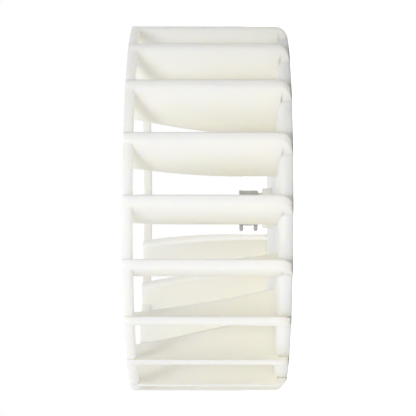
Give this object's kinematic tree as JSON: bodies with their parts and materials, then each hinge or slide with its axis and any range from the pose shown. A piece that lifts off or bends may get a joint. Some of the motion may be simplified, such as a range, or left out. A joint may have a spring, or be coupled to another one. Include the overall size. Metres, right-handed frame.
{
  "type": "centrifugal blower wheel",
  "caption": "Moulded plastic centrifugal blower wheel with curved tapered blades between an open front ring and a dished back plate, its D-bored hub held by a spring clamp.",
  "frame": {"origin": "on the wheel's axis, in the plane of the back plate's rear rim, on which the wheel stands", "axes": "+Z along the axis of rotation, from the back plate towards the open front ring; +X through the tip of one blade"},
  "size_m": [0.203, 0.203, 0.084],
  "materials": {
    "moulded_plastic": "satin, off-white, slightly translucent",
    "spring_steel": "dull rolled strip"
  },
  "bodies": {
    "root": {"blower_wheel": "moulded_plastic", "hub_clamp": "spring_steel"}
  },
  "joints": []
}
